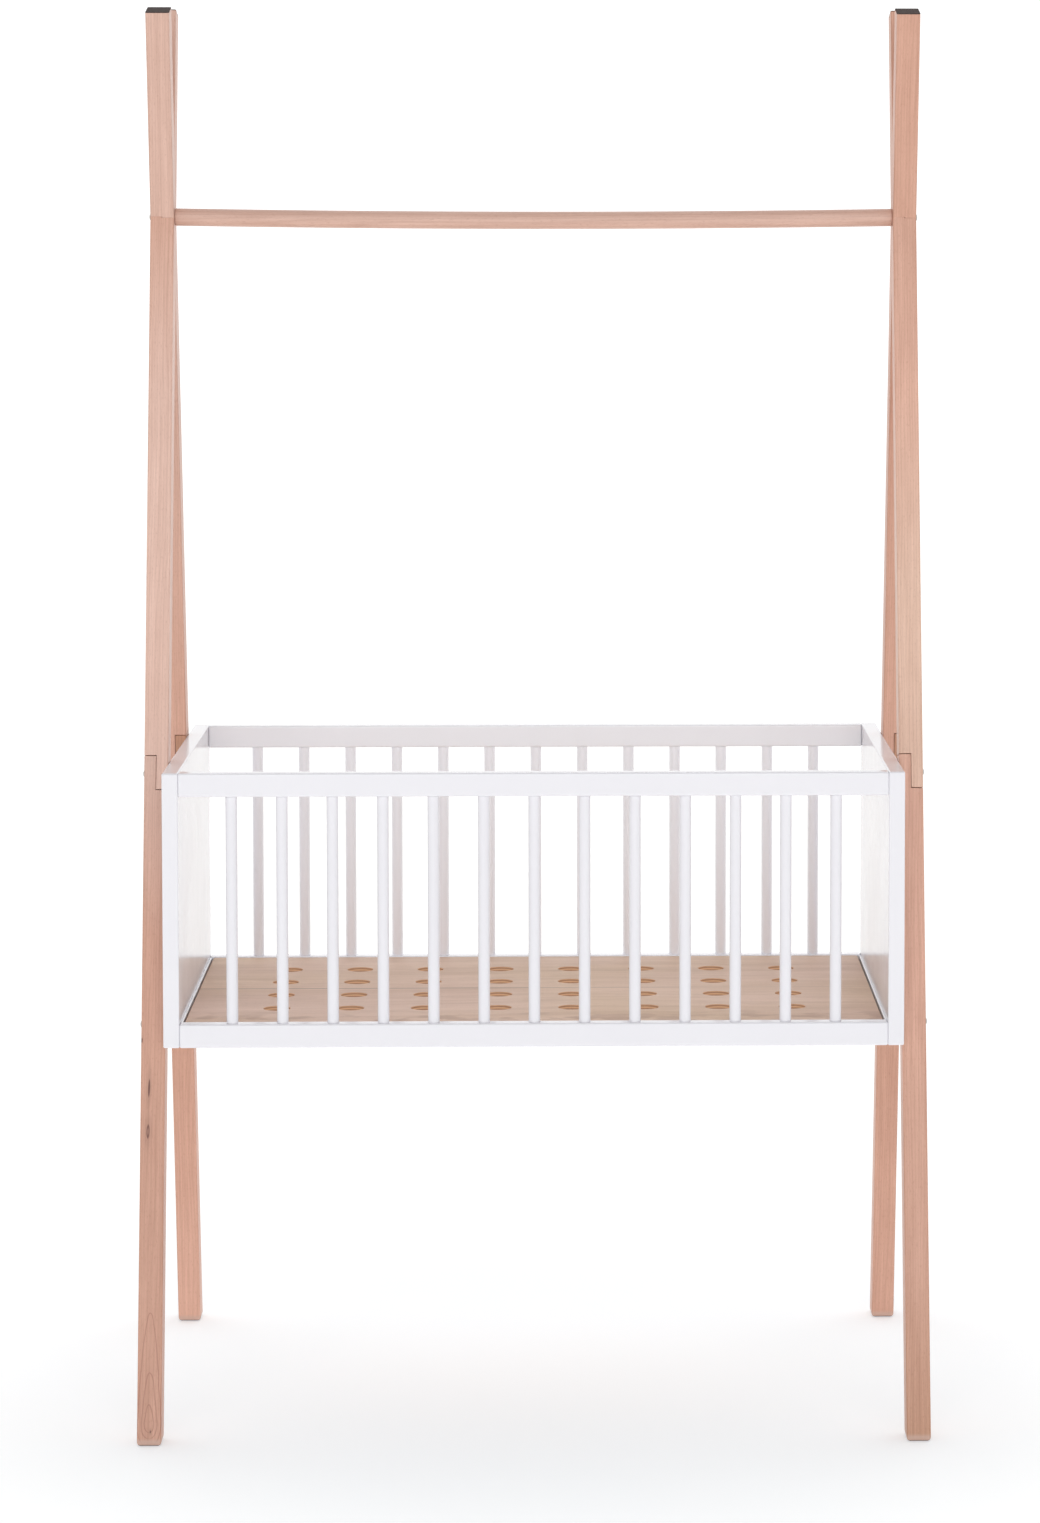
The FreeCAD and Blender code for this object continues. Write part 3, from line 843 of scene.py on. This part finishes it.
def make_box():
    """Two end panels with pockets for the bolt heads, four rails, and two rows of spindles."""
    recess = [circle(HEAD_RECESS / 2, -HEAD_HEIGHT, 40), circle(HEAD_RECESS / 2, 1 * MM, 40)]
    for side, side_name in ENDS:
        node = "end_panel_" + side_name
        lo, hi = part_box(node)
        edges = (PANEL_OUTER_EDGE, PANEL_INNER_EDGE)
        low_edge, high_edge = edges if side < 0 else reversed(edges)
        mesh = rounded_box(node, lo, hi, 0, PANEL_CORNER, low_edge, high_edge)
        mesh = bored(mesh, join_at("recesses", recess, rail_bolt_places(side, PANEL_X)))
        add_piece(node, mesh, WHITE)
    for front, depth_name in DEPTHS:
        # the back row takes the brighter white of painted light
        white = WHITE if front < 0 else WHITE_BACK_PAINTED_LIGHT
        for level_name in ("top", "lower"):
            node = level_name + "_rail_" + depth_name
            lo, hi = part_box(node)
            mesh = rounded_box(node, lo, hi, 0, RAIL_EDGE, RAIL_END_EDGE, RAIL_END_EDGE)
            add_piece(node, mesh, white)
        for number in range(1, SPINDLE_COUNT + 1):
            make_spindle("spindle_%s_%02d" % (depth_name, number), depth_name, white)


def make_spindle(node, depth_name, white):
    """A round spindle, drawn in a little where it enters each rail."""
    lo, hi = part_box(node)
    radius = (hi.x - lo.x) / 2
    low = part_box("lower_rail_" + depth_name)[1].z
    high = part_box("top_rail_" + depth_name)[0].z
    waist = radius - SPINDLE_DRAW
    neck = SPINDLE_NECK
    profile = [
        (waist, lo.z), (waist, low + neck * 0.25), (radius, low + neck),
        (radius, high - neck), (waist, high - neck * 0.25), (waist, hi.z),
    ]
    rings = [circle(r, z, 32) for r, z in profile]
    mesh = loft(node, rings)
    centre = (lo + hi) / 2
    mesh.transform(Matrix.Translation((centre.x, centre.y, 0)))
    add_piece(node, mesh, white)


# ---- base board ------------------------------------------------------------------------------

def centred(count, pitch):
    """Evenly spaced places either side of the middle."""
    return [(n - (count - 1) / 2) * pitch for n in range(count)]


def rectangle_points(half_x, half_y, count_x, count_y):
    """Even points round a rectangle, counter-clockwise from its corner at high X and low Y."""
    step_x = 2 * half_x / count_x
    step_y = 2 * half_y / count_y
    loop = [(half_x, -half_y + n * step_y) for n in range(count_y)]
    loop += [(half_x - n * step_x, half_y) for n in range(count_x)]
    loop += [(-half_x, half_y - n * step_y) for n in range(count_y)]
    loop += [(-half_x + n * step_x, -half_y) for n in range(count_x)]
    return loop


class Sheet:
    """The board's mesh while it is made: points that meet are the same vertex."""

    def __init__(self):
        self.bm = bmesh.new()
        self.made = {}
        self.walls = []

    def vertex(self, x, y, z):
        """The vertex at a place, made when it is first asked for."""
        key = (round(x, 6), round(y, 6), round(z, 6))
        if key not in self.made:
            self.made[key] = self.bm.verts.new((x, y, z))
        return self.made[key]

    def wall(self, rings):
        """Faces between each ring of vertices and the next: cut edges that show the plies."""
        for first, second in zip(rings, rings[1:]):
            for n in range(len(first)):
                after = (n + 1) % len(first)
                self.walls.append(
                    self.bm.faces.new((first[n], first[after], second[after], second[n])))

    def mesh(self, name):
        """The finished mesh, with the plies on its cut edges."""
        for face in self.walls:
            face.material_index = 1
        bmesh.ops.recalc_face_normals(self.bm, faces=self.bm.faces)
        mesh = bpy.data.meshes.new(name)
        self.bm.to_mesh(mesh)
        self.bm.free()
        return mesh


# levels of the board's face, its broken edges and its underside, and how far each edge is cut back
BOARD_LEVELS = (
    (BOARD_HI.z, BOARD_EDGE), (BOARD_HI.z - BOARD_EDGE, 0.0),
    (BOARD_LO.z + BOARD_EDGE, 0.0), (BOARD_LO.z, BOARD_EDGE),
)
CELL_STEPS = 10


def add_hole_cell(sheet, x, y):
    """One cell of the board, a rectangle with an air hole in its middle."""
    square = rectangle_points(HOLE_COLUMN_PITCH / 2, HOLE_ROW_PITCH / 2, CELL_STEPS, CELL_STEPS)
    count = len(square)
    turns = [math.pi * (2 * n / count - 0.25) for n in range(count)]
    rings = []
    for z, grow in BOARD_LEVELS:
        radius = HOLE_DIAMETER / 2 + grow
        rings.append([
            sheet.vertex(x + radius * math.cos(t), y + radius * math.sin(t), z) for t in turns])
    for z, ring in ((BOARD_HI.z, rings[0]), (BOARD_LO.z, rings[-1])):
        outer = [sheet.vertex(x + dx, y + dy, z) for dx, dy in square]
        for n in range(count):
            after = (n + 1) % count
            sheet.bm.faces.new((outer[n], outer[after], ring[after], ring[n]))
    sheet.wall(rings)


def board_rim(sheet, grid, inset, z):
    """The board's outline: for each point of the grid, that point and a vertex, more round a corner."""
    grid_x = max(x for x, _ in grid)
    grid_y = max(y for _, y in grid)
    out_x = BOARD_HI.x - inset
    out_y = BOARD_HI.y - inset
    radius = BOARD_CORNER - inset
    points = []
    for x, y in grid:
        at_x = math.isclose(abs(x), grid_x)
        at_y = math.isclose(abs(y), grid_y)
        if at_x and at_y:
            start = math.floor(math.atan2(y, x) / (math.pi / 2)) * math.pi / 2
            for n in range(CORNER_STEPS + 1):
                turn = start + math.pi / 2 * n / CORNER_STEPS
                corner_x = math.copysign(out_x - radius, x) + radius * math.cos(turn)
                corner_y = math.copysign(out_y - radius, y) + radius * math.sin(turn)
                points.append(((x, y), sheet.vertex(corner_x, corner_y, z)))
        elif at_x:
            points.append(((x, y), sheet.vertex(math.copysign(out_x, x), y, z)))
        else:
            points.append(((x, y), sheet.vertex(x, math.copysign(out_y, y), z)))
    return points


def add_border(sheet, z, outline):
    """The flat border between the cells and the board's outline, at one level."""
    for n in range(len(outline)):
        (here, edge_here), (there, edge_there) = outline[n], outline[(n + 1) % len(outline)]
        inner_here = sheet.vertex(here[0], here[1], z)
        inner_there = sheet.vertex(there[0], there[1], z)
        if inner_here == inner_there:
            sheet.bm.faces.new((inner_here, edge_here, edge_there))
        else:
            sheet.bm.faces.new((inner_here, edge_here, edge_there, inner_there))


def make_board():
    """The loose board: a sheet of cells with a round hole in each, and a border round them."""
    sheet = Sheet()
    for x in centred(HOLE_COLUMNS, HOLE_COLUMN_PITCH):
        for y in centred(HOLE_ROWS, HOLE_ROW_PITCH):
            add_hole_cell(sheet, x, y)
    grid = rectangle_points(
        HOLE_COLUMNS * HOLE_COLUMN_PITCH / 2, HOLE_ROWS * HOLE_ROW_PITCH / 2,
        HOLE_COLUMNS * CELL_STEPS, HOLE_ROWS * CELL_STEPS)
    outlines = [board_rim(sheet, grid, inset, z) for z, inset in BOARD_LEVELS]
    sheet.wall([[vertex for _, vertex in outline] for outline in outlines])
    add_border(sheet, BOARD_HI.z, outlines[0])
    add_border(sheet, BOARD_LO.z, outlines[-1])
    mesh = sheet.mesh("base_board")
    store_grain(mesh, lambda point: Vector((point.y, point.z - BOARD_LO.z, point.x)))
    mesh.materials.append(PLY_FACE)
    mesh.materials.append(PLY_EDGE)
    add_piece("base_board", mesh, PLY_FACE, body="base_board")


# ---- battens --------------------------------------------------------------------------------

def make_battens():
    """Painted battens that hold the board up, each a bar, the end ones with a lip."""
    for side, side_name in ENDS:
        node = "end_batten_" + side_name
        lo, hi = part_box(node)
        ledge_top = BOARD_LO.z
        lip = INNER_X - (BOARD_HI.x + BOARD_END_GAP)
        near = side * (INNER_X - END_BATTEN_WIDTH)
        far = side * INNER_X
        lip_near = side * (INNER_X - lip)
        outline = [
            (near, lo.z), (far, lo.z), (far, hi.z), (lip_near, hi.z),
            (lip_near, ledge_top), (near, ledge_top),
        ]
        add_profile_bar(node, outline, lo.y, hi.y)
    for _, depth_name in DEPTHS:
        node = "side_batten_" + depth_name
        lo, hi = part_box(node)
        mesh = rounded_box(node, lo, hi, 0, 1.0 * MM, BATTEN_EDGE, BATTEN_EDGE)
        add_piece(node, mesh, WHITE)


def add_profile_bar(node, outline, y0, y1):
    """A bar along Y with the given outline in X and Z, its corners broken."""
    bm = bmesh.new()
    loops = [[bm.verts.new((x, y, z)) for x, z in outline] for y in (y0, y1)]
    faces = [bm.faces.new(loop) for loop in loops]
    for n in range(len(outline)):
        after = (n + 1) % len(outline)
        faces.append(bm.faces.new((loops[0][n], loops[0][after], loops[1][after], loops[1][n])))
    bmesh.ops.recalc_face_normals(bm, faces=faces)
    bmesh.ops.bevel(
        bm, geom=[edge for edge in bm.edges if edge.is_convex], offset=BATTEN_EDGE,
        segments=3, profile=0.5, affect="EDGES", clamp_overlap=True)
    mesh = bpy.data.meshes.new(node)
    bm.to_mesh(mesh)
    bm.free()
    # the end battens take the brighter white of painted light
    add_piece(node, mesh, WHITE_BACK_PAINTED_LIGHT)


# ---- fasteners --------------------------------------------------------------------------------

def hexagon(apothem, along, steps):
    """One ring of a hexagonal socket."""
    ring = []
    for n in range(steps):
        turn = 2 * math.pi * n / steps
        offset = (turn + math.pi / 6) % (math.pi / 3) - math.pi / 6
        radius = apothem / math.cos(offset)
        ring.append(Vector((radius * math.cos(turn), radius * math.sin(turn), along)))
    return ring


def bolt_rings(shank):
    """Button head bolt with a hexagon socket: shank down, head up, zero at the seat."""
    steps = 24
    dome_steps = 6
    tip = 0.5 * MM
    seat_edge = 0.3 * MM
    radius = BOLT_DIAMETER / 2
    rings = [circle(radius - tip, -shank, steps), circle(radius, -shank + tip, steps)]
    rings += [circle(radius, 0, steps), circle(HEAD_RADIUS - seat_edge, 0, steps)]
    rings += [circle(HEAD_RADIUS, seat_edge, steps)]

    sphere = (HEAD_RADIUS ** 2 + HEAD_HEIGHT ** 2) / (2 * HEAD_HEIGHT)
    rim = SOCKET_WIDTH / 2 * 1.3
    for n in range(1, dome_steps + 1):
        across = HEAD_RADIUS + (rim - HEAD_RADIUS) * n / dome_steps
        height = math.sqrt(sphere ** 2 - across ** 2) - (sphere - HEAD_HEIGHT)
        rings.append(circle(across, height, steps))

    mouth = HEAD_HEIGHT - 0.35 * MM
    floor = HEAD_HEIGHT - SOCKET_DEPTH
    rings.append(hexagon(SOCKET_WIDTH / 2 + 0.15 * MM, mouth, steps))
    rings.append(hexagon(SOCKET_WIDTH / 2, mouth - 0.2 * MM, steps))
    rings.append(hexagon(SOCKET_WIDTH / 2, floor, steps))
    rings.append(circle(0.4 * MM, floor - 0.6 * MM, steps))
    return rings


def join_at(name, rings, places):
    """Copies of one turned piece, each moved by its own matrix, in one mesh."""
    bm = bmesh.new()
    for place in places:
        mesh = loft(name, rings)
        mesh.transform(place)
        bm.from_mesh(mesh)
        bpy.data.meshes.remove(mesh)
    joined = bpy.data.meshes.new(name)
    bm.to_mesh(joined)
    bm.free()
    return joined


def facing(direction, place):
    """Turns a piece made along +Z to point along a direction, at a place."""
    return Matrix.Translation(place) @ Vector(direction).to_track_quat("Z", "Y").to_matrix().to_4x4()


def make_fasteners():
    """Bolts as new pieces, and materials for the fasteners that stay as the frame has them."""
    leg_places = []
    bar_places = []
    rail_places = []
    for side, _ in ENDS:
        for front, _ in DEPTHS:
            for height in (SPLICE_HEIGHT, LOWER_BOLT_HEIGHT):
                y = front * (CROSSING_HEIGHT - height) * math.tan(LEAN)
                leg_places.append(facing((side, 0, 0), (side * OUTER_X, y, height)))
        rail_places += rail_bolt_places(side, PANEL_X - HEAD_HEIGHT)
        bar_places.append(facing((side, 0, 0), (side * OUTER_X, 0, CROSSING_HEIGHT)))
    panel = PANEL_X - HEAD_HEIGHT - INNER_X
    for node, shank, places in (
        ("leg_to_panel_bolts", LEG_THICK + PANEL_INSERT_LENGTH, leg_places),
        ("hanging_rail_bolts", LEG_THICK + END_INSERT_LENGTH, bar_places),
        ("rail_to_panel_bolts", panel + END_INSERT_LENGTH, rail_places),
    ):
        mesh = join_at(node, bolt_rings(shank), places)
        add_piece(node, mesh, NICKEL)
    for node in ("leg_to_panel_inserts", "hanging_rail_inserts", "rail_to_panel_inserts", "batten_screws"):
        dress(node, NICKEL)
    pins = beech("beech_pins", (ROSE, ROSE), (-1.0, 1.0), 41)
    dress("rail_to_panel_pins", pins)


def dress(node, material):
    """Gives a CAD node that stays shown its material."""
    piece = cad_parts[node]
    piece.data.materials.clear()
    piece.data.materials.append(material)


# ---- stage ------------------------------------------------------------------------------------

FLOOR_SIZE = 60.0

# the key light: its strength, then its width and its height above the horizon in degrees
KEY_LIGHT = 1.05
KEY_WIDTH = 50
KEY_HEIGHT = 14

# light from all round: the room in front, its ceiling, and the backdrop
ROOM_LIGHT = 0.36
CEILING_LIGHT = 0.42
BACKDROP_LIGHT = 1.2

# the camera: lens and sensor in millimetres, place in metres, and turns in degrees
SENSOR_WIDTH = 36
LENS = 108.98
SHIFT_X = -0.10506
SHIFT_Y = -0.15857
CAMERA_PLACE = (0.027058, -6.111216, 1.583563)
CAMERA_YAW = 1.5562
CAMERA_PITCH = 4.0326
CAMERA_ROLL = 0.0445
VIEW_DISTANCE = 200


def make_stage():
    """A plain pale floor, one wide soft key light from the front, and the room round them."""
    mesh = bpy.data.meshes.new("floor")
    bm = bmesh.new()
    bmesh.ops.create_grid(bm, x_segments=12, y_segments=12, size=FLOOR_SIZE / 2)
    bm.to_mesh(mesh)
    bm.free()
    floor = bpy.data.objects.new("floor", mesh)
    scene.collection.objects.link(floor)
    mesh.materials.append(floor_paint())
    make_world()

    lamp = bpy.data.lights.new("key_light", "SUN")
    lamp.energy = KEY_LIGHT
    lamp.angle = math.radians(KEY_WIDTH)
    key = bpy.data.objects.new("key_light", lamp)
    scene.collection.objects.link(key)
    key.rotation_euler = (math.radians(90 - KEY_HEIGHT), 0, 0)
    scene.view_settings.view_transform = "Standard"


def make_world():
    """A bright backdrop behind the cradle that fades forward into a dimmer room and ceiling."""
    world = bpy.data.worlds.new("studio")
    world.use_nodes = True
    nodes = world.node_tree.nodes
    links = world.node_tree.links

    def ramp(value, low, high, to_low, to_high, kind="LINEAR"):
        node = nodes.new("ShaderNodeMapRange")
        node.interpolation_type = kind
        node.inputs["From Min"].default_value = low
        node.inputs["From Max"].default_value = high
        node.inputs["To Max"].default_value = to_high
        if isinstance(to_low, bpy.types.NodeSocket):
            links.new(to_low, node.inputs["To Min"])
        else:
            node.inputs["To Min"].default_value = to_low
        links.new(value, node.inputs["Value"])
        return node.outputs["Result"]

    place = nodes.new("ShaderNodeTexCoord")
    parts = nodes.new("ShaderNodeSeparateXYZ")
    links.new(place.outputs["Generated"], parts.inputs[0])
    room = ramp(parts.outputs["Z"], 0.1, 0.8, ROOM_LIGHT, CEILING_LIGHT)
    light = ramp(parts.outputs["Y"], -0.35, 0.65, room, BACKDROP_LIGHT, kind="SMOOTHSTEP")
    background = nodes["Background"]
    background.inputs["Color"].default_value = rgba(1.0, 1.0, 1.0)
    links.new(light, background.inputs["Strength"])
    scene.world = world


def make_camera():
    """The camera, in front of the cradle and just above the height of the hanging rail."""
    data = bpy.data.cameras.new("camera")
    data.sensor_width = SENSOR_WIDTH
    data.lens = LENS
    data.shift_x = SHIFT_X
    data.shift_y = SHIFT_Y
    data.clip_end = VIEW_DISTANCE
    camera = bpy.data.objects.new("camera", data)
    scene.collection.objects.link(camera)
    turn = Matrix.Rotation(-math.radians(CAMERA_YAW), 4, "Z")
    turn = turn @ Matrix.Rotation(math.radians(90 - CAMERA_PITCH), 4, "X")
    turn = turn @ Matrix.Rotation(math.radians(CAMERA_ROLL), 4, "Z")
    camera.matrix_world = Matrix.Translation(CAMERA_PLACE) @ turn
    scene.camera = camera


make_camera()
make_stage()
make_legs()
make_hanging_rail()
make_box()
make_board()
make_battens()
make_fasteners()
